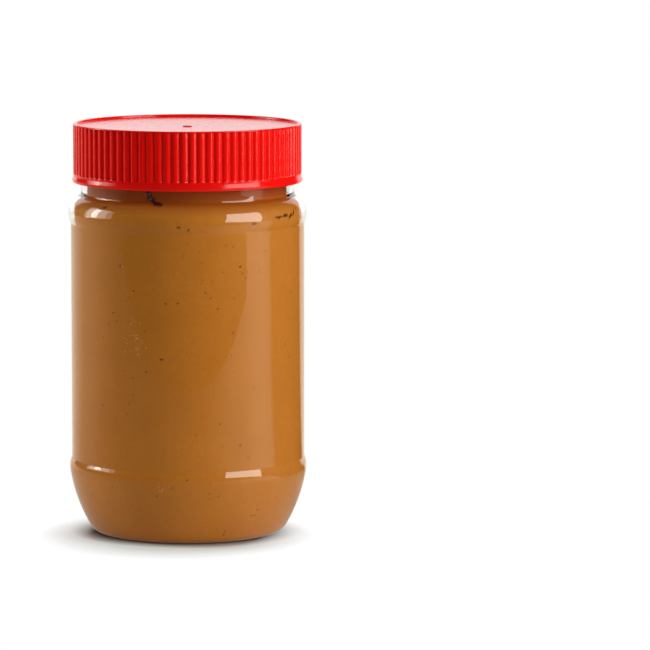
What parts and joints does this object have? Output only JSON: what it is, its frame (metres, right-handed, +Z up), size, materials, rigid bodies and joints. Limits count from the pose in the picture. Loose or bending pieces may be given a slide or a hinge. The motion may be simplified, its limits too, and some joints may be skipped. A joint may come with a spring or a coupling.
{
  "type": "plastic food jar",
  "caption": "Clear wide-mouth plastic jar full of peanut butter, with raised rings above and below a smooth panel, a rounded base and a ribbed red screw lid.",
  "frame": {"origin": "centre of the jar's foot ring, on the surface it stands on", "axes": "+Z up along the jar's axis; the jar is round, so +X and +Y only fix the ribs' first angle"},
  "size_m": [0.0874, 0.0874, 0.1501],
  "materials": {
    "clear_plastic": "clear glossy polyester, moulded and blown",
    "lid_plastic": "glossy moulded red polypropylene",
    "peanut_butter": "smooth roasted peanut paste with fine dark flecks, wet against the wall"
  },
  "bodies": {
    "root": {"jar": "clear_plastic", "lid": "lid_plastic", "peanut_butter": "peanut_butter"}
  },
  "joints": []
}
